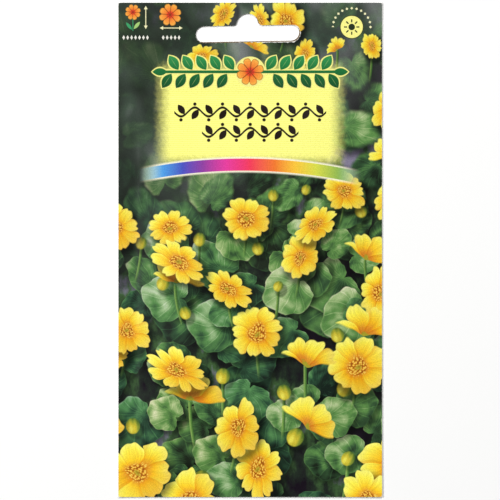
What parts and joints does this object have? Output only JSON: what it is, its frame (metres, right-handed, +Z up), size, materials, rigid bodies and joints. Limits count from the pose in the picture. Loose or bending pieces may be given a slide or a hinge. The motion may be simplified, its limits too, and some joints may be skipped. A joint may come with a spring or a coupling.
{
  "type": "seed packet",
  "caption": "Flat paper seed packet with a hang slot in its header, a printed front sheet bonded to a back sheet, and loose seeds inside.",
  "frame": {"origin": "middle of the packet's outline, on the surface that it lies on", "axes": "+X across the packet to the right of the printed front, +Y along its length towards the hang slot, +Z up out of the printed front"},
  "size_m": [0.08, 0.15, 0.0023],
  "materials": {
    "printed_paper": "satin",
    "plain_paper": "matte",
    "seed_coat": "matte"
  },
  "bodies": {
    "root": {"front_sheet": "printed_paper", "back_sheet": "plain_paper", "seed_01": "seed_coat", "seed_02": "seed_coat", "seed_03": "seed_coat", "seed_04": "seed_coat", "seed_05": "seed_coat", "seed_06": "seed_coat", "seed_07": "seed_coat", "seed_08": "seed_coat", "seed_09": "seed_coat", "seed_10": "seed_coat", "seed_11": "seed_coat", "seed_12": "seed_coat", "seed_13": "seed_coat", "seed_14": "seed_coat", "seed_15": "seed_coat", "seed_16": "seed_coat", "seed_17": "seed_coat", "seed_18": "seed_coat", "seed_19": "seed_coat", "seed_20": "seed_coat", "seed_21": "seed_coat", "seed_22": "seed_coat", "seed_23": "seed_coat", "seed_24": "seed_coat", "seed_25": "seed_coat", "seed_26": "seed_coat", "seed_27": "seed_coat", "seed_28": "seed_coat", "seed_29": "seed_coat", "seed_30": "seed_coat", "seed_31": "seed_coat", "seed_32": "seed_coat", "seed_33": "seed_coat", "seed_34": "seed_coat", "seed_35": "seed_coat", "seed_36": "seed_coat"}
  },
  "joints": []
}
